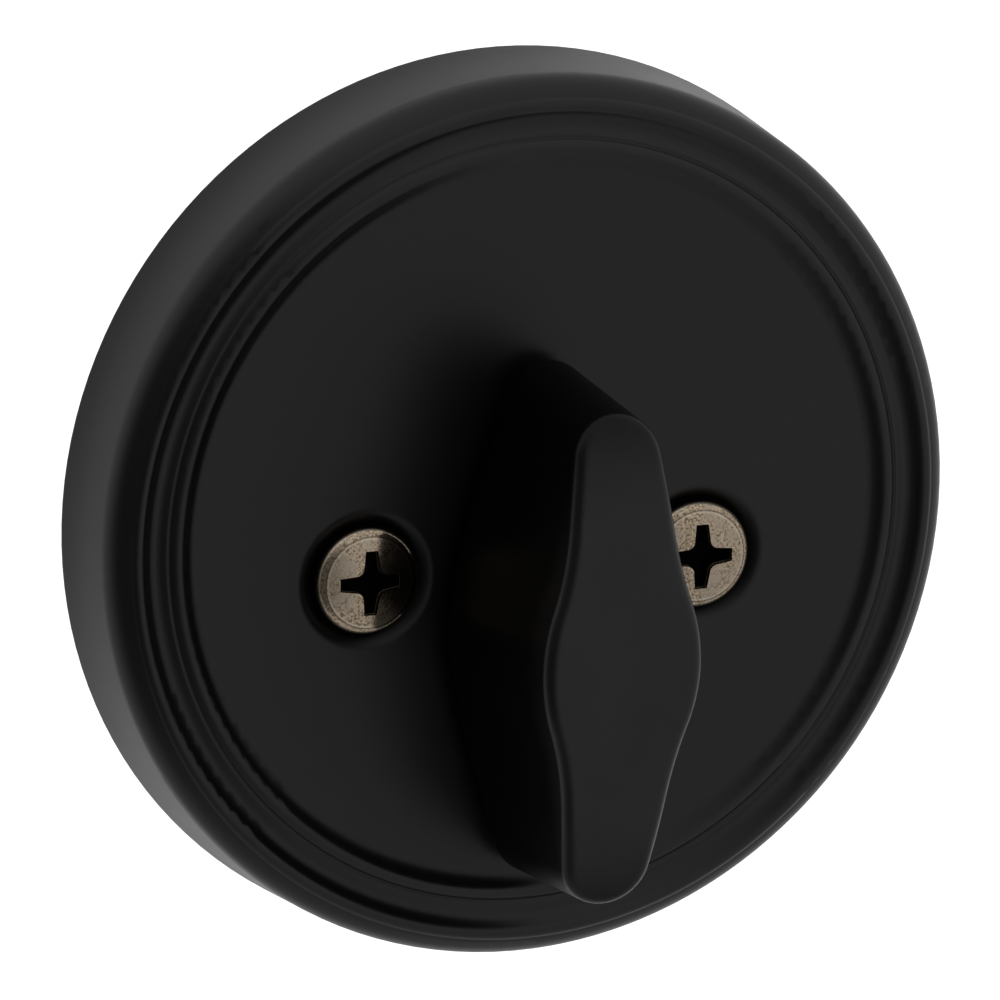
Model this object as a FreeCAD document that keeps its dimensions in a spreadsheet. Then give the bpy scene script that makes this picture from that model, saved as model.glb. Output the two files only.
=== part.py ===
# Inside thumb-turn unit of a tubular deadbolt door lock.
#
# Row frame, millimetres: +X right and +Z up as seen from the room, +Y into the door, door surface at y = 0.
# The origin is the midpoint between the two mounting screws, on the door surface.
# Every body is drawn in a local frame laid on the door: local x = X, local y = Z, local z = distance out from
# the door into the room (-Y).

import FreeCAD, Part
import math
import os
import re
import Sketcher

Vector = FreeCAD.Vector
doc = FreeCAD.newDocument("deadbolt_thumb_turn")

# ---------------------------------------------------------------- driving dimensions

DIMENSIONS = [
    # layout on the door
    ("rose_up", "3.6"),                  # rose centre above the screw line
    ("pivot_up", "-3.3"),                # turn axis relative to the screw line
    ("screw_half_spacing", "13.3"),
    # rose, a drawn shell with an outer ring and an inner bead
    ("rose_back_radius", "34.0"),
    ("rose_rim_radius", "33.65"),
    ("rose_shoulder_round", "2.4"),
    ("rose_shoulder_low", "7.06"),
    ("rose_shoulder_angle", "28"),       # degrees from the face where the shoulder begins
    ("rose_shoulder_radius", "=rose_rim_radius - rose_shoulder_round * (1 - sin(rose_shoulder_angle))"),
    ("rose_shoulder_height", "=rose_shoulder_low + rose_shoulder_round * cos(rose_shoulder_angle)"),
    ("rose_face_height", "9.1"),
    ("rose_shell", "1.2"),
    # raised ring at the rim; its inner side sweeps down to a valley
    ("ring_top_radius", "31.6"),
    ("ring_top_height", "9.6"),
    ("ring_round", "0.7"),
    ("ring_outer_slope", "58"),
    ("ring_inner_slope", "46"),
    ("ring_cove", "1.25"),
    ("ring_outer_radius", "=ring_top_radius + ring_round * sin(ring_outer_slope)"),
    ("ring_outer_height", "=ring_top_height - ring_round * (1 - cos(ring_outer_slope))"),
    ("ring_inner_radius", "=ring_top_radius - ring_round * sin(ring_inner_slope)"),
    ("ring_inner_height", "=ring_top_height - ring_round * (1 - cos(ring_inner_slope))"),
    ("valley_radius", "=ring_inner_radius - ring_cove * sin(ring_inner_slope)"),
    ("valley_height", "=ring_inner_height - ring_cove * (1 - cos(ring_inner_slope))"),
    # gentle rise from the valley to the crease beside the bead
    ("rise_slope", "24"),
    ("rise_cove", "1.0"),
    ("rise_foot_radius", "=valley_radius - rise_cove * sin(rise_slope)"),
    ("rise_foot_height", "=valley_height + rise_cove * (1 - cos(rise_slope))"),
    ("crease_lip_radius", "29.35"),
    ("crease_lip_height", "=rise_foot_height + (rise_foot_radius - crease_lip_radius) * tan(rise_slope)"),
    ("crease_radius", "29.15"),
    ("crease_depth", "0.06"),
    ("crease_height", "=crease_lip_height - crease_depth"),
    # inner bead, swept up out of the flat face
    ("bead_top_radius", "28.45"),
    ("bead_round", "0.81"),
    ("bead_outer_slope", "44"),
    ("bead_inner_slope", "38"),
    ("bead_cove", "1.62"),
    ("bead_top_height", "=rose_face_height + (bead_round + bead_cove) * (1 - cos(bead_inner_slope))"),
    ("bead_outer_radius", "=bead_top_radius + bead_round * sin(bead_outer_slope)"),
    ("bead_outer_height", "=bead_top_height - bead_round * (1 - cos(bead_outer_slope))"),
    ("bead_inner_radius", "=bead_top_radius - bead_round * sin(bead_inner_slope)"),
    ("bead_inner_height", "=bead_top_height - bead_round * (1 - cos(bead_inner_slope))"),
    ("bead_foot_radius", "=bead_inner_radius - bead_cove * sin(bead_inner_slope)"),
    ("rose_inner_back_radius", "32.75"),
    ("rose_inner_wall_radius", "32.5"),
    ("rose_inner_wall_height", "6.4"),
    ("rose_inner_face_radius", "31.0"),
    ("rose_inner_face_height", "=rose_face_height - rose_shell"),
    ("rose_pivot_drop", "=pivot_up - rose_up"),
    ("rose_screw_drop", "=-rose_up"),
    # dimples that seat the screw heads
    ("dimple_radius", "5.2"),
    ("dimple_depth", "0.5"),
    ("dimple_taper", "64"),
    ("dimple_lip", "1.2"),
    ("dimple_boss_radius", "5.8"),
    ("dimple_boss_height", "0.8"),
    ("dimple_boss_back", "=rose_inner_face_height - dimple_boss_height"),
    ("screw_clearance_radius", "2.4"),
    # turn piece
    ("turn_foot", "11.1"),
    ("turn_crown_height", "27.25"),
    ("turn_crown_radius", "62"),
    ("turn_edge_round", "0.9"),
    ("turn_stock_top", "28.0"),
    # lozenge outline where the turn piece meets the rose
    ("foot_half_length", "19.6"),
    ("foot_half_width", "7.3"),
    ("foot_waist_round", "20"),
    ("foot_waist_angle", "11"),
    ("foot_flank_round", "65.5"),
    ("foot_flank_angle", "17.5"),
    ("foot_bend", "1"),                  # flank bulges
    # waisted outline at the top of the stock
    ("top_half_length", "18.4"),
    ("top_half_width", "6.2"),
    ("top_waist_round", "13.5"),
    ("top_waist_angle", "21"),
    ("top_flank_round", "21"),
    ("top_flank_angle", "5.5"),
    ("top_bend", "-1"),                  # flank is hollow
    ("crown_half_length", "=foot_half_length + 2"),
    ("crown_centre_height", "=turn_crown_height - turn_crown_radius"),
    ("crown_end_height", "=crown_centre_height + sqrt(turn_crown_radius ^ 2 - crown_half_length ^ 2)"),
    ("crown_cut_height", "=turn_crown_height + 4"),
    # stem of the turn piece
    ("collar_radius", "6.6"),
    ("collar_gap", "0.1"),
    ("collar_back", "=rose_face_height + collar_gap"),
    ("collar_length", "=turn_foot - collar_back + 0.5"),
    ("stem_radius", "5.0"),
    ("stem_end", "2.6"),
    ("stem_length", "=turn_foot - stem_end + 0.5"),
    ("stem_chamfer", "0.3"),
    ("groove_radius", "4.0"),
    ("blade_slot_width", "6.1"),
    ("blade_slot_thickness", "2.1"),
    ("blade_slot_depth", "5.6"),
    ("stem_clear_radius", "=stem_radius + 1"),
    ("blade_slot_half_width", "=blade_slot_width / 2"),
    ("blade_slot_half_thickness", "=blade_slot_thickness / 2"),
    # stack behind the rose
    ("bushing_bore", "5.05"),
    ("bushing_radius", "6.2"),
    ("bushing_flange_radius", "7.8"),
    ("bushing_flange", "0.8"),
    ("bushing_flange_back", "=rose_inner_face_height - bushing_flange"),
    ("bushing_length", "=rose_face_height - bushing_flange_back"),
    ("thrust_washer_bore", "5.2"),
    ("thrust_washer_radius", "7.7"),
    ("thrust_washer_thickness", "0.5"),
    ("thrust_washer_back", "=bushing_flange_back - thrust_washer_thickness"),
    ("spring_washer_bore", "5.3"),
    ("spring_washer_radius", "7.6"),
    ("spring_washer_thickness", "0.3"),
    ("spring_washer_bow", "0.5"),
    ("spring_washer_space", "=spring_washer_thickness + spring_washer_bow"),
    ("spring_washer_back", "=thrust_washer_back - spring_washer_space"),
    ("spring_bend_radius", "=(spring_washer_radius ^ 2 / spring_washer_bow + spring_washer_bow) / 2"),
    ("spring_strip_half", "=spring_washer_radius + 0.4"),
    ("spring_strip_width", "=2 * spring_washer_radius + 2"),
    ("spring_strip_rise", "=spring_bend_radius - sqrt(spring_bend_radius ^ 2 - spring_strip_half ^ 2)"),
    ("spring_strip_high", "=spring_washer_back + spring_strip_rise"),
    ("spring_strip_high_top", "=spring_strip_high + spring_washer_thickness"),
    ("clip_thickness", "0.7"),
    ("clip_back", "=spring_washer_back - clip_thickness"),
    ("clip_radius", "7.3"),
    ("clip_mouth_half", "3.3"),
    ("clip_mouth_reach", "=clip_radius + 1"),
    ("clip_relief_offset", "4.1"),
    ("clip_relief_rise", "2.4"),
    ("clip_relief_radius", "1.55"),
    # torque blade and its cross pin
    ("blade_width", "6.0"),
    ("blade_thickness", "2.0"),
    ("blade_tip", "-44"),
    ("blade_top", "=stem_end + blade_slot_depth - 0.1"),
    ("blade_tip_taper", "1.6"),
    ("blade_tip_half", "1.6"),
    ("blade_half_width", "=blade_width / 2"),
    ("blade_shoulder", "=blade_tip + blade_tip_taper"),
    ("score_first", "-40"),
    ("score_pitch", "6.35"),
    ("score_count", "5"),
    ("score_depth", "0.35"),
    ("score_run", "=score_pitch * (score_count - 1)"),
    ("blade_half_thickness", "=blade_thickness / 2"),
    ("score_floor", "=blade_half_thickness - score_depth"),
    ("score_outer", "=blade_half_thickness + 0.05"),
    ("score_low", "=score_first - score_depth"),
    ("score_high", "=score_first + score_depth"),
    ("pin_radius", "0.75"),
    ("pin_height", "3.85"),
    ("pin_length", "9.4"),
    # mounting plate, a shallow pressed cup
    ("plate_radius", "32.3"),
    ("plate_thickness", "1.5"),
    ("plate_rim_height", "4.0"),
    ("plate_rim_wall", "1.2"),
    ("plate_rim_inner", "=plate_radius - plate_rim_wall"),
    ("plate_corner_round", "0.7"),
    ("plate_flat_radius", "=plate_radius - plate_corner_round"),
    ("plate_hole_radius", "8.0"),
    # spacers between plate and rose
    ("spacer_bore", "2.3"),
    ("spacer_radius", "4.4"),
    ("spacer_length", "=dimple_boss_back - plate_thickness"),
    # mounting screws, number 8 with 32 threads to the inch, pan head
    ("head_radius", "4.1"),
    ("head_seat", "=rose_face_height - dimple_depth"),
    ("head_side", "0.5"),
    ("head_edge_round", "0.85"),
    ("head_edge_angle", "75"),
    ("head_side_top", "=head_seat + head_side"),
    ("head_crown_radius", "=head_radius - head_edge_round * (1 - cos(head_edge_angle))"),
    ("head_crown_height", "=head_side_top + head_edge_round * sin(head_edge_angle)"),
    ("head_crown_round", "=head_crown_radius / cos(head_edge_angle)"),
    ("head_top", "=head_crown_height + head_crown_round * (1 - sin(head_edge_angle))"),
    ("shank_radius", "2.083"),
    ("shank_end", "-36.7"),
    ("shank_point", "1.0"),
    ("shank_point_radius", "1.3"),
    ("shank_point_start", "=shank_end + shank_point"),
    ("thread_pitch", "0.794"),
    ("thread_depth", "0.43"),
    ("thread_root", "=shank_radius - thread_depth"),
    ("thread_turns", "26"),
    ("thread_first", "=shank_point_start + 0.6"),
    ("thread_low", "=thread_first - thread_pitch * 0.42"),
    ("thread_high", "=thread_first + thread_pitch * 0.42"),
    ("thread_run", "=thread_pitch * (thread_turns - 1)"),
    ("thread_outer", "=shank_radius + 0.05"),
    ("cross_reach", "2.5"),
    ("cross_tip_half", "0.53"),
    ("cross_half", "0.66"),
    ("cross_fillet", "0.6"),
    ("cross_inner", "=cross_half + cross_fillet"),
    ("cross_depth", "1.45"),
    ("cross_taper", "6"),
    ("cross_start", "=head_top + 0.2"),
    ("cross_length", "=cross_depth + 0.2"),
]

# Where the arcs of each turn outline meet, worked out so that they run into each other smoothly.
OUTLINE_POINTS = [
    ("waist_x", "=half_width - waist_round * (1 - cos(waist_angle))"),
    ("waist_y", "=waist_round * sin(waist_angle)"),
    ("flank_x", "=waist_x - bend * flank_round * (cos(waist_angle) - cos(flank_angle))"),
    ("flank_y", "=waist_y + bend * flank_round * (sin(flank_angle) - sin(waist_angle))"),
    ("end_reach", "=flank_x * cos(flank_angle) - (half_length - flank_y) * sin(flank_angle)"),
    ("end_round", "=end_reach / (1 - sin(flank_angle))"),
    ("end_x", "=end_round * cos(flank_angle)"),
    ("end_y", "=half_length - end_round * (1 - sin(flank_angle))"),
]
OUTLINE_WORDS = r"\b(half_length|half_width|bend|(?:waist|flank|end)_\w+)"
for level in ("foot_", "top_"):
    for point, content in OUTLINE_POINTS:
        DIMENSIONS.append((level + point, re.sub(OUTLINE_WORDS, level + r"\1", content)))

sheet = doc.addObject("Spreadsheet::Sheet", "Dims")
for row, (alias, content) in enumerate(DIMENSIONS, start=1):
    sheet.set("A%d" % row, alias)
    sheet.set("B%d" % row, content)
    sheet.setAlias("B%d" % row, alias)
doc.recompute()


# ---------------------------------------------------------------- helpers

def value(name):
    """Number behind an alias; a leading minus negates it and "0" is zero."""
    if name == "0":
        return 0.0
    sign = -1.0 if name.startswith("-") else 1.0
    return sign * float(sheet.get(name.lstrip("-")))


def formula(name):
    """Expression text for an alias with an optional leading minus."""
    if name.startswith("-"):
        return "-Dims." + name[1:]
    return "Dims." + name


def bind(obj, prop, name):
    """Drive a property from the spreadsheet."""
    if name != "0":
        obj.setExpression(prop, formula(name))


def new_body(name, across="0", up="0"):
    """Body in the door-laid frame, its axis at row X = across and row Z = up."""
    body = doc.addObject("PartDesign::Body", name)
    body.Label = name
    place = Vector(value(across), 0, value(up))
    body.Placement = FreeCAD.Placement(place, FreeCAD.Rotation(Vector(1, 0, 0), 90))
    bind(body, "Placement.Base.x", across)
    bind(body, "Placement.Base.z", up)
    return body


def new_sketch(body, name, role, offset="0"):
    """Sketch on an origin plane of the body, moved along the plane's normal by offset."""
    sketch = doc.addObject("Sketcher::SketchObject", name)
    body.addObject(sketch)
    plane = [item for item in body.Origin.OriginFeatures if item.Role == role][0]
    sketch.AttachmentSupport = [(plane, "")]
    sketch.MapMode = "FlatFace"
    bind(sketch, "AttachmentOffset.Base.z", offset)
    return sketch


def pin_point(sketch, geometry, position, x_name, y_name):
    """Fix one point of a sketch at two named coordinates."""
    for kind, name, axis in (("DistanceX", x_name, -2), ("DistanceY", y_name, -1)):
        if name == "0":
            sketch.addConstraint(Sketcher.Constraint("PointOnObject", geometry, position, axis))
            continue
        index = sketch.addConstraint(Sketcher.Constraint(kind, -1, 1, geometry, position, value(name)))
        sketch.setExpression("Constraints[%d]" % index, formula(name))


def add_circle(sketch, radius, x_name="0", y_name="0"):
    """Full circle with a named radius and centre."""
    centre = Vector(value(x_name), value(y_name), 0)
    circle = sketch.addGeometry(Part.Circle(centre, Vector(0, 0, 1), value(radius)))
    index = sketch.addConstraint(Sketcher.Constraint("Radius", circle, value(radius)))
    sketch.setExpression("Constraints[%d]" % index, formula(radius))
    if x_name == "0" and y_name == "0":
        sketch.addConstraint(Sketcher.Constraint("Coincident", circle, 3, -1, 1))
    else:
        pin_point(sketch, circle, 3, x_name, y_name)


def arc_between(start, end, radius, turn):
    """Minor arc from start to end; turn is +1 for anticlockwise, -1 for clockwise."""
    chord = end - start
    middle = (start + end) * 0.5
    height = math.sqrt(max(radius ** 2 - (chord.Length / 2) ** 2, 0.0))
    normal = Vector(-chord.y, chord.x, 0).normalize()
    centre = middle + normal * (height * turn)
    first, last = (start, end) if turn > 0 else (end, start)
    angles = [math.atan2(p.y - centre.y, p.x - centre.x) for p in (first, last)]
    if angles[1] < angles[0]:
        angles[1] += 2 * math.pi
    circle = Part.Circle(centre, Vector(0, 0, 1), radius)
    return Part.ArcOfCircle(circle, angles[0], angles[1])


def add_outline(sketch, corners):
    """Closed outline; a corner is (x, y) for a line to it or (x, y, radius, turn) for an arc to it."""
    points = [Vector(value(c[0]), value(c[1]), 0) for c in corners]
    ends = []
    for index, corner in enumerate(corners):
        start, end = points[index - 1], points[index]
        if len(corner) == 2:
            geometry = sketch.addGeometry(Part.LineSegment(start, end))
            ends.append((geometry, 1, 2))
            continue
        geometry = sketch.addGeometry(arc_between(start, end, value(corner[2]), corner[3]))
        ends.append((geometry, 1, 2) if corner[3] > 0 else (geometry, 2, 1))
    for index, corner in enumerate(corners):
        geometry, _, last = ends[index]
        following, first, _ = ends[(index + 1) % len(ends)]
        sketch.addConstraint(Sketcher.Constraint("Coincident", geometry, last, following, first))
        pin_point(sketch, geometry, last, corner[0], corner[1])
        if len(corner) == 4:
            number = sketch.addConstraint(Sketcher.Constraint("Radius", geometry, value(corner[2])))
            sketch.setExpression("Constraints[%d]" % number, formula(corner[2]))


def opposite(name):
    """The alias with its sign changed."""
    return name[1:] if name.startswith("-") else "-" + name


def feature(body, kind, name, sketch, **settings):
    """PartDesign feature on a sketch; text settings are aliases, others plain values."""
    item = doc.addObject("PartDesign::" + kind, name)
    body.addObject(item)
    item.Profile = sketch
    for prop, setting in settings.items():
        if isinstance(setting, str) and prop in ("Length", "Length2", "TaperAngle", "Angle"):
            item.setExpression(prop, formula(setting))
        else:
            setattr(item, prop, setting)
    body.Tip = item
    doc.recompute()
    return item


def revolve(body, kind, name, sketch):
    """Full turn of a sketch about its own vertical axis."""
    return feature(body, kind, name, sketch, ReferenceAxis=(sketch, ["V_Axis"]), Angle=360)


def round_edges(body, name, keep, radius):
    """Fillet the edges of the body's tip that the test function keeps."""
    base = body.Tip
    edges = ["Edge%d" % (i + 1) for i, edge in enumerate(base.Shape.Edges) if keep(edge)]
    item = doc.addObject("PartDesign::Fillet", name)
    body.addObject(item)
    item.Base = (base, edges)
    item.setExpression("Radius", formula(radius))
    body.Tip = item
    doc.recompute()
    return item


def is_circle(edge, radius, height):
    """True for a circular edge of this radius at this local height."""
    curve = edge.Curve
    if curve.TypeId != "Part::GeomCircle":
        return False
    return abs(curve.Radius - radius) < 0.02 and abs(curve.Center.z - height) < 0.02


def repeat(body, name, source, direction, length, count):
    """Linear pattern of one feature along the sketch axis given."""
    item = doc.addObject("PartDesign::LinearPattern", name)
    body.addObject(item)
    item.Originals = [source]
    item.Direction = direction
    item.setExpression("Length", formula(length))
    item.setExpression("Occurrences", formula(count))
    body.Tip = item
    doc.recompute()
    return item


def tube(name, radii, start, length, across="0", up="0"):
    """Plain sleeve or washer."""
    body = new_body(name, across, up)
    sketch = new_sketch(body, name + "_rings", "XY_Plane", start)
    for radius in radii:
        add_circle(sketch, radius)
    feature(body, "Pad", name + "_pad", sketch, Length=length)
    return body


# ---------------------------------------------------------------- rose

def make_rose():
    body = new_body("rose", up="rose_up")
    profile = new_sketch(body, "rose_profile", "XZ_Plane")
    add_outline(profile, [
        ("rose_back_radius", "0"),
        ("rose_rim_radius", "rose_shoulder_low"),
        ("rose_shoulder_radius", "rose_shoulder_height", "rose_shoulder_round", 1),
        ("ring_outer_radius", "ring_outer_height"),
        ("ring_inner_radius", "ring_inner_height", "ring_round", 1),
        ("valley_radius", "valley_height", "ring_cove", -1),
        ("rise_foot_radius", "rise_foot_height", "rise_cove", -1),
        ("crease_lip_radius", "crease_lip_height"),
        ("crease_radius", "crease_height"),
        ("bead_outer_radius", "bead_outer_height"),
        ("bead_inner_radius", "bead_inner_height", "bead_round", 1),
        ("bead_foot_radius", "rose_face_height", "bead_cove", -1),
        ("0", "rose_face_height"),
        ("0", "rose_inner_face_height"),
        ("rose_inner_face_radius", "rose_inner_face_height"),
        ("rose_inner_wall_radius", "rose_inner_wall_height"),
        ("rose_inner_back_radius", "0"),
    ])
    revolve(body, "Revolution", "rose_shell_turn", profile)

    bosses = new_sketch(body, "rose_boss_circles", "XY_Plane", "dimple_boss_back")
    for side in ("screw_half_spacing", "-screw_half_spacing"):
        add_circle(bosses, "dimple_boss_radius", side, "rose_screw_drop")
    feature(body, "Pad", "rose_bosses", bosses, Length="dimple_boss_height")

    dimples = new_sketch(body, "rose_dimple_circles", "XY_Plane", "rose_face_height")
    for side in ("screw_half_spacing", "-screw_half_spacing"):
        add_circle(dimples, "dimple_radius", side, "rose_screw_drop")
    feature(body, "Pocket", "rose_dimples", dimples, Length="dimple_depth", TaperAngle="-dimple_taper")
    lip_height = value("rose_face_height")
    lip_radius = value("dimple_radius")
    round_edges(body, "rose_dimple_lips", lambda edge: is_circle(edge, lip_radius, lip_height), "dimple_lip")

    holes = new_sketch(body, "rose_hole_circles", "XY_Plane", "ring_top_height")
    for side in ("screw_half_spacing", "-screw_half_spacing"):
        add_circle(holes, "screw_clearance_radius", side, "rose_screw_drop")
    add_circle(holes, "bushing_radius", "0", "rose_pivot_drop")
    feature(body, "Pocket", "rose_holes", holes, Type="ThroughAll")


# ---------------------------------------------------------------- turn piece with its stem

def turn_half(level, bend, sign, other):
    """Half of a turn outline, anticlockwise from the side with this sign, round one end, to the other."""
    return [
        (sign + level + "waist_x", sign + level + "waist_y", level + "waist_round", 1),
        (sign + level + "flank_x", sign + level + "flank_y", level + "flank_round", bend),
        (sign + level + "end_x", sign + level + "end_y"),
        (other + level + "end_x", sign + level + "end_y", level + "end_round", 1),
        (other + level + "flank_x", sign + level + "flank_y"),
        (other + level + "waist_x", sign + level + "waist_y", level + "flank_round", bend),
        (other + level + "half_width", "0", level + "waist_round", 1),
    ]


def turn_section(body, level, height):
    """Sketch of the whole turn outline at one level."""
    sketch = new_sketch(body, "turn_" + level + "outline", "XY_Plane", height)
    bend = int(value(level + "bend"))
    add_outline(sketch, turn_half(level, bend, "", "-") + turn_half(level, bend, "-", ""))
    return sketch


def is_barrel(face, radius):
    """True for a cylindrical face of this radius."""
    surface = face.Surface
    return surface.TypeId == "Part::GeomCylinder" and abs(surface.Radius - radius) < 0.1


def is_crown_rim(edge, faces):
    """True for an edge that borders one of the crowned faces."""
    return any(edge.isSame(other) for face in faces for other in face.Edges)


def make_turn():
    body = new_body("turn_piece", up="pivot_up")
    foot = turn_section(body, "foot_", "turn_foot")
    top = turn_section(body, "top_", "turn_stock_top")
    feature(body, "AdditiveLoft", "turn_stock", foot, Sections=[top])

    crown = new_sketch(body, "turn_crown_profile", "YZ_Plane")
    add_outline(crown, [
        ("crown_half_length", "crown_end_height", "turn_crown_radius", -1),
        ("crown_half_length", "crown_cut_height"),
        ("-crown_half_length", "crown_cut_height"),
        ("-crown_half_length", "crown_end_height"),
    ])
    feature(body, "Pocket", "turn_crown", crown, Type="ThroughAll", Midplane=True)
    crown_radius = value("turn_crown_radius")
    crowned = [face for face in body.Tip.Shape.Faces if is_barrel(face, crown_radius)]
    round_edges(body, "turn_face_edge", lambda edge: is_crown_rim(edge, crowned), "turn_edge_round")

    collar = new_sketch(body, "turn_collar_circle", "XY_Plane", "collar_back")
    add_circle(collar, "collar_radius")
    feature(body, "Pad", "turn_collar", collar, Length="collar_length")
    stem = new_sketch(body, "turn_stem_circle", "XY_Plane", "stem_end")
    add_circle(stem, "stem_radius")
    feature(body, "Pad", "turn_stem", stem, Length="stem_length")
    stem_radius = value("stem_radius")
    stem_end = value("stem_end")
    round_edges(body, "turn_stem_end", lambda edge: is_circle(edge, stem_radius, stem_end), "stem_chamfer")

    groove = new_sketch(body, "turn_clip_groove_profile", "XY_Plane", "clip_back")
    add_circle(groove, "stem_clear_radius")
    add_circle(groove, "groove_radius")
    feature(body, "Pocket", "turn_clip_groove", groove, Length="clip_thickness", Reversed=True)

    slot = new_sketch(body, "turn_blade_slot", "XY_Plane", "stem_end")
    add_outline(slot, rectangle("blade_slot_half_width", "blade_slot_half_thickness"))
    feature(body, "Pocket", "turn_slot", slot, Length="blade_slot_depth", Reversed=True)

    pin_hole = new_sketch(body, "turn_pin_hole_circle", "XZ_Plane")
    add_circle(pin_hole, "pin_radius", "0", "pin_height")
    feature(body, "Pocket", "turn_pin_hole", pin_hole, Type="ThroughAll", Midplane=True)


def rectangle(half_x, half_y):
    """Corners of a centred rectangle, anticlockwise."""
    return [(half_x, "-" + half_y), (half_x, half_y), ("-" + half_x, half_y), ("-" + half_x, "-" + half_y)]


# ---------------------------------------------------------------- stack behind the rose

def make_bushing():
    body = tube("pivot_bushing", ("bushing_bore", "bushing_radius"), "bushing_flange_back", "bushing_length",
                up="pivot_up")
    flange = new_sketch(body, "bushing_flange_rings", "XY_Plane", "bushing_flange_back")
    add_circle(flange, "bushing_bore")
    add_circle(flange, "bushing_flange_radius")
    feature(body, "Pad", "bushing_flange_pad", flange, Length="bushing_flange")


def make_spring_washer():
    """Washer bent to one gentle curve, so its middle bears on the clip and its ends on the thrust washer."""
    body = new_body("curved_spring_washer", up="pivot_up")
    strip = new_sketch(body, "spring_washer_strip", "XZ_Plane")
    add_outline(strip, [
        ("spring_strip_half", "spring_strip_high", "spring_bend_radius", 1),
        ("spring_strip_half", "spring_strip_high_top"),
        ("-spring_strip_half", "spring_strip_high_top", "spring_bend_radius", -1),
        ("-spring_strip_half", "spring_strip_high"),
    ])
    feature(body, "Pad", "spring_washer_band", strip, Length="spring_strip_width", Midplane=True)
    trim = new_sketch(body, "spring_washer_trim", "XY_Plane", "thrust_washer_back")
    add_outline(trim, rectangle("spring_strip_width", "spring_strip_width"))
    add_circle(trim, "spring_washer_radius")
    add_circle(trim, "spring_washer_bore")
    feature(body, "Pocket", "spring_washer_cut", trim, Type="ThroughAll", Midplane=True)


def make_clip():
    """E-shaped clip: three prongs in the stem groove, mouth downwards."""
    body = tube("retaining_clip", ("groove_radius", "clip_radius"), "clip_back", "clip_thickness",
                up="pivot_up")
    mouth = new_sketch(body, "clip_mouth", "XY_Plane", "spring_washer_back")
    add_outline(mouth, [
        ("clip_mouth_half", "-clip_mouth_reach"),
        ("clip_mouth_half", "0"),
        ("-clip_mouth_half", "0"),
        ("-clip_mouth_half", "-clip_mouth_reach"),
    ])
    feature(body, "Pocket", "clip_mouth_cut", mouth, Length="clip_thickness")
    reliefs = new_sketch(body, "clip_reliefs", "XY_Plane", "spring_washer_back")
    for side in ("clip_relief_offset", "-clip_relief_offset"):
        add_circle(reliefs, "clip_relief_radius", side, "clip_relief_rise")
    feature(body, "Pocket", "clip_relief_cut", reliefs, Length="clip_thickness")


# ---------------------------------------------------------------- torque blade and cross pin

def make_blade():
    body = new_body("torque_blade", up="pivot_up")
    outline = new_sketch(body, "blade_outline", "XZ_Plane")
    add_outline(outline, [
        ("blade_half_width", "blade_shoulder"),
        ("blade_half_width", "blade_top"),
        ("-blade_half_width", "blade_top"),
        ("-blade_half_width", "blade_shoulder"),
        ("-blade_tip_half", "blade_tip"),
        ("blade_tip_half", "blade_tip"),
    ])
    feature(body, "Pad", "blade_bar", outline, Length="blade_thickness", Midplane=True)
    hole = new_sketch(body, "blade_pin_hole_circle", "XZ_Plane")
    add_circle(hole, "pin_radius", "0", "pin_height")
    feature(body, "Pocket", "blade_pin_hole", hole, Type="ThroughAll", Midplane=True)
    score = new_sketch(body, "blade_score_profile", "YZ_Plane")
    for sign in ("", "-"):
        add_outline(score, [
            (sign + "score_outer", "score_high"),
            (sign + "score_floor", "score_first"),
            (sign + "score_outer", "score_low"),
        ])
    cut = feature(body, "Pocket", "blade_score", score, Type="ThroughAll", Midplane=True)
    repeat(body, "blade_scores", cut, (score, ["V_Axis"]), "score_run", "score_count")


def make_pin():
    body = new_body("blade_pin", up="pivot_up")
    circle = new_sketch(body, "pin_circle", "XZ_Plane")
    add_circle(circle, "pin_radius", "0", "pin_height")
    feature(body, "Pad", "pin_bar", circle, Length="pin_length", Midplane=True)


# ---------------------------------------------------------------- plate and spacers

def make_plate():
    body = new_body("mounting_plate", up="rose_up")
    profile = new_sketch(body, "plate_profile", "XZ_Plane")
    add_outline(profile, [
        ("0", "0"),
        ("plate_flat_radius", "0"),
        ("plate_radius", "plate_corner_round", "plate_corner_round", 1),
        ("plate_radius", "plate_rim_height"),
        ("plate_rim_inner", "plate_rim_height"),
        ("plate_rim_inner", "plate_thickness"),
        ("0", "plate_thickness"),
    ])
    revolve(body, "Revolution", "plate_cup", profile)
    holes = new_sketch(body, "plate_holes_circles", "XY_Plane", "plate_rim_height")
    for side in ("screw_half_spacing", "-screw_half_spacing"):
        add_circle(holes, "screw_clearance_radius", side, "rose_screw_drop")
    add_circle(holes, "plate_hole_radius", "0", "rose_pivot_drop")
    feature(body, "Pocket", "plate_holes", holes, Type="ThroughAll")


# ---------------------------------------------------------------- mounting screws

def cross_outline():
    """Four-armed recess outline with rounded inner corners, anticlockwise."""
    quarter = [
        ("cross_reach", "cross_tip_half"),
        ("cross_inner", "cross_half"),
        ("cross_half", "cross_inner", "cross_fillet", -1),
        ("cross_tip_half", "cross_reach"),
    ]
    corners = []
    for _ in range(4):
        corners += quarter
        quarter = [(opposite(c[1]), c[0]) + tuple(c[2:]) for c in quarter]
    return corners


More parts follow.
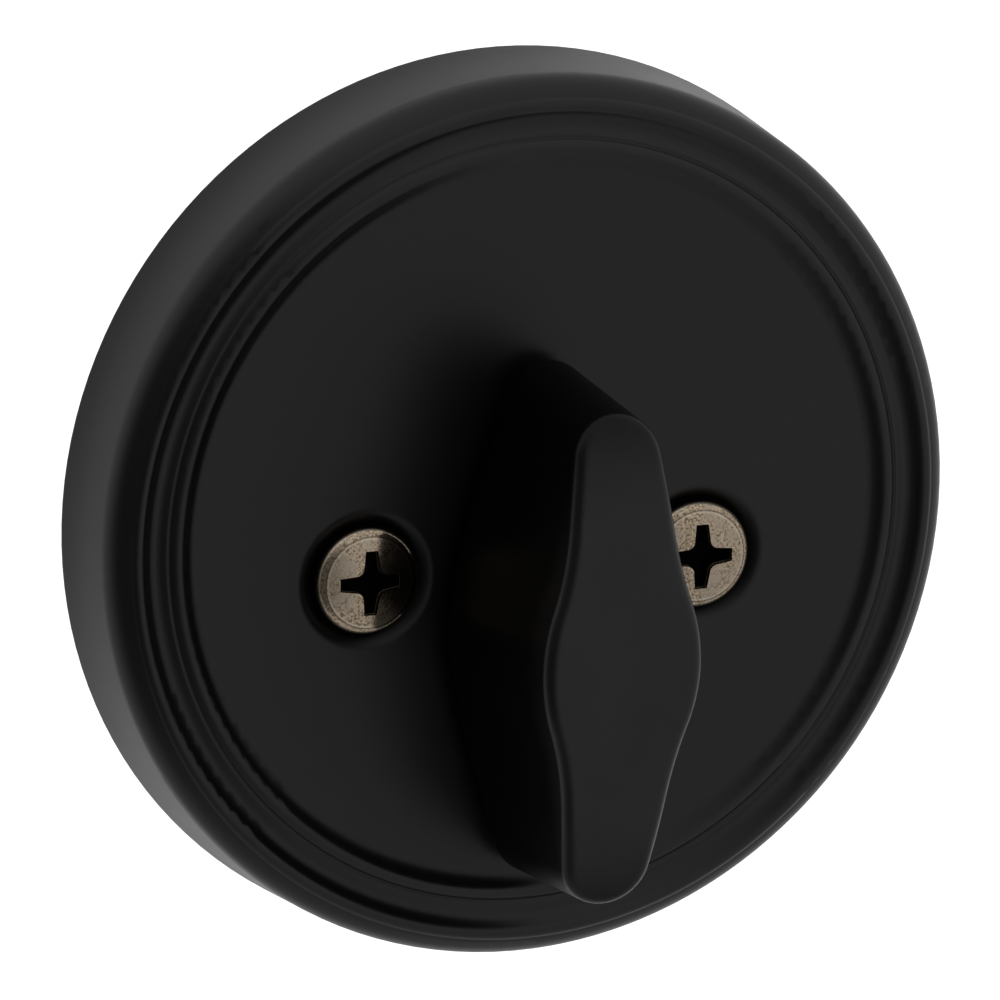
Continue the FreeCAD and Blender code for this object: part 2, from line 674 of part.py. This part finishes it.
def make_screw(name, across):
    body = new_body(name, across)
    profile = new_sketch(body, name + "_profile", "XZ_Plane")
    add_outline(profile, [
        ("0", "shank_end"),
        ("shank_point_radius", "shank_end"),
        ("shank_radius", "shank_point_start"),
        ("shank_radius", "head_seat"),
        ("head_radius", "head_seat"),
        ("head_radius", "head_side_top"),
        ("head_crown_radius", "head_crown_height", "head_edge_round", 1),
        ("0", "head_top", "head_crown_round", 1),
    ])
    revolve(body, "Revolution", name + "_blank", profile)
    thread = new_sketch(body, name + "_thread_profile", "XZ_Plane")
    add_outline(thread, [
        ("thread_outer", "thread_low"),
        ("thread_outer", "thread_high"),
        ("thread_root", "thread_first"),
    ])
    cut = revolve(body, "Groove", name + "_thread_cut", thread)
    repeat(body, name + "_thread", cut, (thread, ["V_Axis"]), "thread_run", "thread_turns")
    recess = new_sketch(body, name + "_recess_outline", "XY_Plane", "cross_start")
    add_outline(recess, cross_outline())
    feature(body, "Pocket", name + "_recess", recess, Length="cross_length", TaperAngle="-cross_taper")


# ---------------------------------------------------------------- build, check, export

make_rose()
make_turn()
make_bushing()
tube("thrust_washer", ("thrust_washer_bore", "thrust_washer_radius"), "thrust_washer_back",
     "thrust_washer_thickness", up="pivot_up")
make_spring_washer()
make_clip()
make_blade()
make_pin()
make_plate()
for side_name, side in (("left", "-screw_half_spacing"), ("right", "screw_half_spacing")):
    tube("spacer_" + side_name, ("spacer_bore", "spacer_radius"), "plate_thickness", "spacer_length",
         across=side)
    make_screw("mounting_screw_" + side_name, side)
doc.recompute()

faulty = [item.Name for item in doc.Objects if "Invalid" in item.State or "Error" in item.State]
if faulty:
    raise RuntimeError("features with errors: " + ", ".join(faulty))

os.makedirs("parts", exist_ok=True)
for item in doc.Objects:
    if item.TypeId != "PartDesign::Body":
        continue
    shape = item.Shape
    if shape.isNull() or not shape.isValid() or len(shape.Solids) != 1:
        raise RuntimeError("bad shape: " + item.Label)
    shape.exportStep("parts/" + item.Label + ".step")
    print(item.Label, round(shape.Volume, 1), shape.optimalBoundingBox(True, False))
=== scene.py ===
import math

import bpy
from mathutils import Matrix, Vector


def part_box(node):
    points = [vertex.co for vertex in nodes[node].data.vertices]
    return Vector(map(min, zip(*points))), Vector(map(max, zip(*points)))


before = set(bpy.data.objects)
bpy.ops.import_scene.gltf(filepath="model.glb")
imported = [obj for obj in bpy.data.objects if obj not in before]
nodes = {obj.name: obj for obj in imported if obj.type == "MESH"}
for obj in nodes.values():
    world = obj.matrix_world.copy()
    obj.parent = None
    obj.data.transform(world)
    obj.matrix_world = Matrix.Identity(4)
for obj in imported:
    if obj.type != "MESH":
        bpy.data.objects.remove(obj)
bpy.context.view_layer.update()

MM = 0.001

# ---------------------------------------------------------------- places read from the frame

rose_low, rose_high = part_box("rose")
head_low, head_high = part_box("mounting_screw_right")
turn_low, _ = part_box("turn_piece")

screw_x = (head_low.x + head_high.x) / 2
head_radius = (head_high.x - head_low.x) / 2
head_top = head_low.y
rose_centre = Vector((0, 0, (rose_low.z + rose_high.z) / 2))
rose_radius = (rose_high.x - rose_low.x) / 2

FACE_DROP = 0.5 * MM        # the flat face lies this far behind the crest of the raised ring
RING_INSET = 2.4 * MM       # crest of the raised ring, in from the rim
BEAD_INSET = 5.55 * MM      # crest of the bead, in from the rim
HEAD_CROWN = 13.4 * MM      # radius of the dome on a screw head
DIMPLE_RADIUS = 5.4 * MM    # the shading of a dimple starts here, from the screw's axis

rose_face = rose_low.y + FACE_DROP
crest_radii = (rose_radius - RING_INSET, rose_radius - BEAD_INSET)

# ---------------------------------------------------------------- material building


EDGE_TURN = (0.05, 0.4)     # 1 minus the cosine of the turn, where an edge's mark starts and is full


class Finish:
    """One procedural material, with short ways to add the nodes that the finishes below share."""

    def __init__(self, name):
        self.material = bpy.data.materials.new(name)
        self.material.use_nodes = True
        self.tree = self.material.node_tree
        self.shader = self.tree.nodes["Principled BSDF"]
        self.place = self.tree.nodes.new("ShaderNodeTexCoord").outputs["Object"]

    def node(self, kind, **settings):
        """New shader node of this kind with these properties."""
        made = self.tree.nodes.new("ShaderNode" + kind)
        for name, setting in settings.items():
            setattr(made, name, setting)
        return made

    def join(self, source, target):
        """Link an output to an input, or set the input when the source is a plain value."""
        if isinstance(source, bpy.types.NodeSocket):
            self.tree.links.new(source, target)
        else:
            target.default_value = source

    def maths(self, operation, first, second=0.0):
        """Result of a sum on one or two outputs or numbers."""
        made = self.node("Math", operation=operation)
        self.join(first, made.inputs[0])
        self.join(second, made.inputs[1])
        return made.outputs[0]

    def noise(self, size, detail=3.0, roughness=0.5, stretch=(1, 1, 1), seed=0.0):
        """Noise with features of this size in metres, from 0 to 1."""
        moved = self.node("Mapping")
        moved.inputs["Location"].default_value = (seed, seed * 0.7, -seed)
        moved.inputs["Scale"].default_value = stretch
        self.join(self.place, moved.inputs["Vector"])
        made = self.node("TexNoise")
        made.inputs["Scale"].default_value = 1 / size
        made.inputs["Detail"].default_value = detail
        made.inputs["Roughness"].default_value = roughness
        self.join(moved.outputs["Vector"], made.inputs["Vector"])
        return made.outputs["Fac"]

    def band(self, source, low, high):
        """0 below low, 1 above high and smooth between; high below low turns it round."""
        made = self.node("MapRange", interpolation_type="SMOOTHSTEP")
        self.join(source, made.inputs["Value"])
        made.inputs["From Min"].default_value = min(low, high)
        made.inputs["From Max"].default_value = max(low, high)
        made.inputs["To Min"].default_value = 0.0 if low < high else 1.0
        made.inputs["To Max"].default_value = 1.0 if low < high else 0.0
        return made.outputs["Result"]

    def spread(self, source, low, high):
        """Map 0 to 1 onto low to high."""
        made = self.node("MapRange")
        self.join(source, made.inputs["Value"])
        made.inputs["To Min"].default_value = low
        made.inputs["To Max"].default_value = high
        return made.outputs["Result"]

    def blend(self, amount, first, second):
        """Colour mix: first at 0, second at 1."""
        made = self.node("Mix", data_type="RGBA")
        self.join(amount, made.inputs["Factor"])
        for colour, target in ((first, made.inputs["A"]), (second, made.inputs["B"])):
            self.join(colour if isinstance(colour, bpy.types.NodeSocket) else (*colour, 1), target)
        return made.outputs["Result"]

    def axis(self, letter):
        """One coordinate of the surface point at rest."""
        parts = self.node("SeparateXYZ")
        self.join(self.place, parts.inputs[0])
        return parts.outputs[letter]

    def length(self, first, second):
        """Length of the pair, as a distance from an axis."""
        squares = [self.maths("POWER", side, 2) for side in (first, second)]
        return self.maths("SQRT", self.maths("ADD", *squares))

    def radius_about(self, centre):
        """Distance from the line through the centre along Y."""
        return self.length(self.maths("SUBTRACT", self.axis("X"), centre.x),
                           self.maths("SUBTRACT", self.axis("Z"), centre.z))

    def from_screws(self):
        """Sideways distance from the nearer screw's axis."""
        return self.maths("SUBTRACT", self.maths("ABSOLUTE", self.axis("X")), screw_x)

    def ridge(self, source, middle, half):
        """1 where the source is at the middle, falling to 0 at half either side."""
        return self.maths("MULTIPLY", self.band(source, middle - half, middle),
                          self.band(source, middle + half, middle))

    def rounded(self, reach, samples=8):
        """Surface normal softened over this reach, as a thick paint film fills creases."""
        bevel = self.node("Bevel", samples=samples)
        bevel.inputs["Radius"].default_value = reach
        return bevel.outputs["Normal"]

    def edges(self, reach):
        """1 on edges, from how far softening over this reach turns the normal."""
        agreement = self.node("VectorMath", operation="DOT_PRODUCT")
        self.join(self.rounded(reach, samples=6), agreement.inputs[0])
        self.join(self.node("NewGeometry").outputs["Normal"], agreement.inputs[1])
        return self.band(self.maths("SUBTRACT", 1.0, agreement.outputs["Value"]), *EDGE_TURN)

    def height(self, *layers, normal=None):
        """Bump from (source, distance in metres) layers, one after the other."""
        for source, distance in layers:
            bump = self.node("Bump")
            bump.inputs["Distance"].default_value = distance
            self.join(source, bump.inputs["Height"])
            if normal:
                self.join(normal, bump.inputs["Normal"])
            normal = bump.outputs["Normal"]
        self.join(normal, self.shader.inputs["Normal"])

    def set(self, **inputs):
        """Fill the shader's sockets; underscores stand for spaces."""
        for name, source in inputs.items():
            is_colour = isinstance(source, tuple) and len(source) == 3
            self.join((*source, 1) if is_colour else source, self.shader.inputs[name.replace("_", " ")])

    def give(self, *names):
        """Make this the material of the named nodes."""
        for name in names:
            nodes[name].data.materials.clear()
            nodes[name].data.materials.append(self.material)


# ---------------------------------------------------------------- finishes

COAT_DEEP = (0.0010, 0.0010, 0.0011)
COAT_FADED = (0.0019, 0.0019, 0.0021)
COAT_RUBBED = (0.012, 0.012, 0.013)

NICKEL_PITTED = (0.19, 0.13, 0.08)
NICKEL_WARM = (0.64, 0.52, 0.38)
NICKEL_DULL = (0.50, 0.42, 0.33)
NICKEL_WORN = (0.80, 0.71, 0.58)
NICKEL_RIM = (0.85, 0.76, 0.63)
NICKEL_GROOVE = (0.10, 0.07, 0.05)
# painted shade on the side of a screw head sunk below the rose's face
NICKEL_SUNK_SHADE = (0.05, 0.04, 0.03)
# painted shade in a screw's cross recess
RECESS_SHADE = (0.0012, 0.0011, 0.0010)

# zinc: two cloud colours, then the spots
PLATE_ZINC = ((0.50, 0.51, 0.52), (0.63, 0.63, 0.60), (0.40, 0.40, 0.40))
SPACER_ZINC = ((0.55, 0.55, 0.55), (0.66, 0.66, 0.64), (0.44, 0.44, 0.44))
BLADE_ZINC = ((0.46, 0.46, 0.47), (0.58, 0.58, 0.57), (0.30, 0.28, 0.26))
ZINC_EDGE = (0.80, 0.80, 0.78)

# steel: the two colours of the oily bloom
WASHER_STEEL = ((0.50, 0.50, 0.50), (0.62, 0.62, 0.61))
SPRING_STEEL = ((0.26, 0.27, 0.30), (0.40, 0.41, 0.43))
CLIP_STEEL = ((0.035, 0.035, 0.037), (0.075, 0.074, 0.072))
PIN_STEEL = ((0.42, 0.42, 0.42), (0.55, 0.55, 0.54))
STEEL_EDGE = (0.62, 0.62, 0.60)

NYLON_SHADES = ((0.62, 0.60, 0.53), (0.74, 0.72, 0.66))
NYLON_SCATTER = Vector((1.2, 1.0, 0.8)) * MM

OPEN_GLOSS = 0.5            # the shader's own level, away from the painted shade
DIMPLE_SHADE_GLOSS = 0.08      # share of the gloss that is left in the painted shade of the screw dimples


def black_coat(name, node, crests, full_gloss, low_gloss, painted_shade_gloss, painted_shade_mask=None):
    """Satin black powder coat: orange peel, fine grain, smoother where rubbed.

    The gloss falls from full at one depth to a painted shade's level at another, nearer the door, and
    almost goes inside the dimple mask, again as painted shade.
    """
    coat = Finish(name)
    drift = coat.noise(14 * MM, 3)
    peel = coat.noise(1.1 * MM, 2)
    grain = coat.noise(0.16 * MM, 2)
    rubbed = coat.maths("MULTIPLY", crests(coat), coat.band(coat.noise(5 * MM, 4), 0.35, 0.65))
    black = coat.blend(drift, COAT_DEEP, COAT_FADED)
    colour = coat.blend(coat.maths("MULTIPLY", rubbed, 0.25), black, COAT_RUBBED)
    rough = coat.maths("SUBTRACT", coat.spread(coat.noise(3 * MM, 4), 0.31, 0.36),
                       coat.maths("MULTIPLY", rubbed, 0.05))
    # painted shade: the gloss falls from full to a low level towards the door side
    gloss = coat.spread(coat.band(coat.axis("Y"), full_gloss, low_gloss), OPEN_GLOSS, painted_shade_gloss)
    # painted shade: the gloss nearly goes in the screw dimples
    if painted_shade_mask:
        gloss = coat.maths("MULTIPLY", gloss, coat.spread(painted_shade_mask(coat), 1.0, DIMPLE_SHADE_GLOSS))
    coat.set(Base_Color=colour, Roughness=rough, Metallic=0.0, IOR=1.5, Specular_IOR_Level=gloss)
    coat.height((peel, 0.004 * MM), (grain, 0.0012 * MM), normal=coat.rounded(0.2 * MM))
    coat.give(node)


def ring_crests(coat):
    """1 on the crests of the raised ring and the bead, which a wiping cloth touches first."""
    radial = coat.radius_about(rose_centre)
    crest = 0.0
    for crest_radius in crest_radii:
        crest = coat.maths("MAXIMUM", crest, coat.ridge(radial, crest_radius, 0.5 * MM))
    return crest


def dimple_shade(coat):
    """1 in the dimples round the screw heads, where the coat's gloss is cut as painted shade."""
    return coat.band(coat.length(coat.from_screws(), coat.axis("Z")), DIMPLE_RADIUS, head_radius + 0.1 * MM)


def grip_crests(coat):
    """1 on the crowned face and upper flanks of the turn, where fingers hold it."""
    return coat.band(coat.axis("Y"), turn_low.y + 9 * MM, turn_low.y + 2 * MM)


def screw_plating():
    """Aged nickel plating: warm and mottled, worn round the rim, with painted shade in the cross recess."""
    plate = Finish("aged_plating")
    radial = plate.length(plate.from_screws(), plate.axis("Z"))
    crown_drop = plate.maths("DIVIDE", plate.maths("POWER", radial, 2), 2 * HEAD_CROWN)
    depth = plate.maths("SUBTRACT", plate.maths("SUBTRACT", plate.axis("Y"), head_top), crown_drop)

    specks = plate.noise(0.18 * MM, 3, 0.6)
    patches = plate.noise(1.3 * MM, 4, 0.55, seed=0.3)
    warm = plate.blend(plate.band(specks, 0.34, 0.60), NICKEL_PITTED, NICKEL_WARM)
    mottled = plate.blend(plate.band(patches, 0.42, 0.72), warm, NICKEL_DULL)
    groove = plate.ridge(radial, head_radius - 0.60 * MM, 0.08 * MM)
    worn = plate.ridge(radial, head_radius - 0.74 * MM, 0.10 * MM)
    rim = plate.ridge(radial, head_radius - 0.12 * MM, 0.10 * MM)
    colour = plate.blend(plate.maths("MULTIPLY", worn, 0.6), mottled, NICKEL_WORN)
    colour = plate.blend(plate.maths("MULTIPLY", rim, 0.6), colour, NICKEL_RIM)
    colour = plate.blend(plate.maths("MULTIPLY", groove, 0.75), colour, NICKEL_GROOVE)

    # painted shade on the side of the head sunk below the rose's face
    sunk_side_shade = plate.maths("MULTIPLY", plate.band(radial, head_radius - 0.6 * MM, head_radius - 0.3 * MM),
                           plate.band(plate.axis("Y"), rose_face - 0.3 * MM, rose_face + 0.3 * MM))
    colour = plate.blend(sunk_side_shade, colour, NICKEL_SUNK_SHADE)

    # painted shade: the cross recess made near black, rough, dull and not metallic
    in_recess = plate.band(radial, 2.75 * MM, 2.6 * MM)
    below_face = plate.band(depth, 0.15 * MM, 0.45 * MM)
    above_neck = plate.band(depth, 1.7 * MM, 1.6 * MM)
    recess_shade = plate.maths("MULTIPLY", plate.maths("MULTIPLY", in_recess, below_face), above_neck)
    colour = plate.blend(recess_shade, colour, RECESS_SHADE)
    rough = plate.maths("ADD", plate.spread(specks, 0.16, 0.09), plate.maths("MULTIPLY", recess_shade, 0.6))
    plate.set(Base_Color=colour, Roughness=rough, Metallic=plate.maths("SUBTRACT", 1.0, recess_shade),
              Specular_IOR_Level=plate.spread(recess_shade, 0.5, 0.04))
    plate.height((specks, 0.003 * MM), (patches, 0.006 * MM))
    plate.give("mounting_screw_left", "mounting_screw_right")


def zinc(name, colours, roughness, grain, *names):
    """Zinc plating over rolled steel: cloudy colour, long rolling grain and brighter worn edges."""
    dull, bright, spotted = colours
    plate = Finish(name)
    cloud = plate.noise(9 * MM, 4, 0.6)
    rolled = plate.noise(grain, 3, 0.5, stretch=(0.06, 1, 1))
    spots = plate.noise(0.9 * MM, 3)
    colour = plate.blend(plate.band(cloud, 0.3, 0.7), dull, bright)
    colour = plate.blend(plate.band(spots, 0.62, 0.75), colour, spotted)
    colour = plate.blend(plate.edges(0.25 * MM), colour, ZINC_EDGE)
    uneven = plate.maths("MULTIPLY", plate.maths("ADD", rolled, cloud), 0.5)
    rough = plate.spread(uneven, roughness - 0.1, roughness + 0.1)
    plate.set(Base_Color=colour, Roughness=rough, Metallic=1.0)
    plate.height((rolled, 0.006 * MM), (spots, 0.004 * MM))
    plate.give(*names)


def oiled_steel(name, colours, roughness, *names):
    """Bare or blackened steel with an oily bloom and bright rubbed edges."""
    steel = Finish(name)
    bloom = steel.noise(3 * MM, 4, 0.6)
    fine = steel.noise(0.25 * MM, 3)
    colour = steel.blend(steel.band(bloom, 0.3, 0.7), *colours)
    colour = steel.blend(steel.edges(0.15 * MM), colour, STEEL_EDGE)
    rough = steel.spread(bloom, roughness - 0.08, roughness + 0.08)
    steel.set(Base_Color=colour, Roughness=rough, Metallic=1.0)
    steel.height((fine, 0.004 * MM))
    steel.give(*names)


def nylon():
    """Moulded natural nylon: off-white, slightly see-through, faint flow marks."""
    plastic = Finish("moulded_nylon")
    flow = plastic.noise(4 * MM, 3, 0.5, stretch=(1, 0.3, 1))
    colour = plastic.blend(flow, *NYLON_SHADES)
    plastic.set(Base_Color=colour, Roughness=plastic.spread(flow, 0.35, 0.5), Subsurface_Weight=0.15,
                Subsurface_Radius=NYLON_SCATTER)
    plastic.height((plastic.noise(0.5 * MM, 2), 0.004 * MM))
    plastic.give("pivot_bushing")


# 0.2 and 0.12 below: the gloss left as painted shade towards the door
black_coat("rose_powder_coat", "rose", ring_crests, rose_low.y * 0.75, rose_high.y, 0.2, dimple_shade)
black_coat("turn_powder_coat", "turn_piece", grip_crests, turn_low.y + 0.8 * MM, turn_low.y + 4 * MM, 0.12)
screw_plating()
zinc("plate_zinc_finish", PLATE_ZINC, 0.38, 0.5 * MM, "mounting_plate")
zinc("spacer_zinc_finish", SPACER_ZINC, 0.32, 0.3 * MM, "spacer_left", "spacer_right")
zinc("blade_finish", BLADE_ZINC, 0.36, 0.35 * MM, "torque_blade")
oiled_steel("washer_finish", WASHER_STEEL, 0.28, "thrust_washer")
oiled_steel("spring_finish", SPRING_STEEL, 0.30, "curved_spring_washer")
oiled_steel("clip_finish", CLIP_STEEL, 0.45, "retaining_clip")
oiled_steel("pin_finish", PIN_STEEL, 0.25, "blade_pin")
nylon()

# ---------------------------------------------------------------- floor, light and camera

# the viewpoint, in metres and, for the lens and sensor, millimetres
AZIMUTH = math.radians(-23.2)
ELEVATION = math.radians(14.6)
ROLL = math.radians(1.6)
CAMERA_DISTANCE = 1.862
LOOK_AT = Vector((1.27, 0.13, 2.70)) * MM
LENS = 900.0
SENSOR_WIDTH = 36.0
CLIP_START = 0.1
CLIP_END = 200.0

# the floor, in metres
FLOOR_DROP = 4.0
FLOOR_RADIUS = 60.0
FLOOR_SIDES = 96
FLOOR_COLOUR = (0.9, 0.9, 0.9, 1)
FLOOR_ROUGHNESS = 0.9
FLOOR_GLOW = 0.75

# the light's strength from below and above, and what the backdrop shows the camera
LIGHT_BELOW = 0.41
LIGHT_ABOVE = 0.58
BACKDROP = 1.0
WHITE = (1, 1, 1, 1)

# a side that the light is weaker from: full effect out to the core angle, none past the reach
SHADED_SIDE = Vector((-0.75, -0.65, -0.10)).normalized()
SHADED_SHARE = 0.20
SHADED_CORE = math.radians(22)
SHADED_REACH = math.radians(66)

# a side that it is stronger from, in the same way
BOUNCE_SIDE = Vector((0.45, 0.75, -0.48)).normalized()
BOUNCE_GAIN = 1.55
BOUNCE_CORE = math.radians(23)
BOUNCE_REACH = math.radians(53)


def back_vector(azimuth, elevation):
    """Unit vector from the object to a viewer at this azimuth and elevation."""
    return Vector((math.sin(azimuth) * math.cos(elevation),
                   -math.cos(azimuth) * math.cos(elevation),
                   math.sin(elevation)))


def make_floor():
    """Wide pale floor well below the object, lit evenly, seen by the camera only."""
    bpy.ops.mesh.primitive_circle_add(vertices=FLOOR_SIDES, radius=FLOOR_RADIUS, fill_type="NGON",
                                      location=(0, 0, -FLOOR_DROP))
    floor = bpy.context.object
    floor.name = "studio_floor"
    paint = bpy.data.materials.new("studio_floor_paint")
    paint.use_nodes = True
    shader = paint.node_tree.nodes["Principled BSDF"]
    shader.inputs["Base Color"].default_value = FLOOR_COLOUR
    shader.inputs["Roughness"].default_value = FLOOR_ROUGHNESS
    shader.inputs["Emission Color"].default_value = WHITE
    shader.inputs["Emission Strength"].default_value = FLOOR_GLOW
    floor.data.materials.append(paint)
    floor.visible_diffuse = False
    floor.visible_glossy = False
    floor.visible_shadow = False


def make_light():
    """Soft light from all round before a white backdrop.

    It is brighter from above, weak from the front left, and bounced back from below at the back right.
    """
    world = bpy.data.worlds.new("soft_studio")
    bpy.context.scene.world = world
    world.use_nodes = True
    tree = world.node_tree
    direction = tree.nodes.new("ShaderNodeTexCoord").outputs["Generated"]

    def fade(axis, start, end, low, high):
        """Strength from low to high as the direction's part along the axis goes from start to end."""
        along = tree.nodes.new("ShaderNodeVectorMath")
        along.operation = "DOT_PRODUCT"
        along.inputs[1].default_value = axis
        tree.links.new(direction, along.inputs[0])
        ramp = tree.nodes.new("ShaderNodeMapRange")
        ramp.interpolation_type = "SMOOTHSTEP"
        for name, setting in (("From Min", start), ("From Max", end), ("To Min", low), ("To Max", high)):
            ramp.inputs[name].default_value = setting
        tree.links.new(along.outputs["Value"], ramp.inputs["Value"])
        return ramp.outputs["Result"]

    light = fade(Vector((0, 0, 1)), -1.0, 1.0, LIGHT_BELOW, LIGHT_ABOVE)
    shade = fade(SHADED_SIDE, math.cos(SHADED_REACH), math.cos(SHADED_CORE), 1.0, SHADED_SHARE)
    bounce = fade(BOUNCE_SIDE, math.cos(BOUNCE_REACH), math.cos(BOUNCE_CORE), 1.0, BOUNCE_GAIN)
    for factor in (shade, bounce):
        product = tree.nodes.new("ShaderNodeMath")
        product.operation = "MULTIPLY"
        tree.links.new(light, product.inputs[0])
        tree.links.new(factor, product.inputs[1])
        light = product.outputs[0]
    seen = tree.nodes.new("ShaderNodeMix")
    tree.links.new(tree.nodes.new("ShaderNodeLightPath").outputs["Is Camera Ray"], seen.inputs["Factor"])
    tree.links.new(light, seen.inputs["A"])
    seen.inputs["B"].default_value = BACKDROP
    tree.links.new(seen.outputs["Result"], tree.nodes["Background"].inputs["Strength"])
    tree.nodes["Background"].inputs["Color"].default_value = WHITE


def make_camera():
    """Camera at the photograph's viewing angle, tilted about its own axis by the roll."""
    data = bpy.data.cameras.new("photo_camera")
    data.sensor_width = SENSOR_WIDTH
    data.lens = LENS
    data.clip_start = CLIP_START
    data.clip_end = CLIP_END
    camera = bpy.data.objects.new("photo_camera", data)
    bpy.context.collection.objects.link(camera)
    back = back_vector(AZIMUTH, ELEVATION)
    camera.location = LOOK_AT + back * CAMERA_DISTANCE
    turn = (-back).to_track_quat("-Z", "Y").to_matrix().to_4x4() @ Matrix.Rotation(ROLL, 4, "Z")
    camera.rotation_euler = turn.to_euler()
    bpy.context.scene.camera = camera


make_floor()
make_light()
make_camera()
bpy.context.scene.view_settings.view_transform = "Standard"
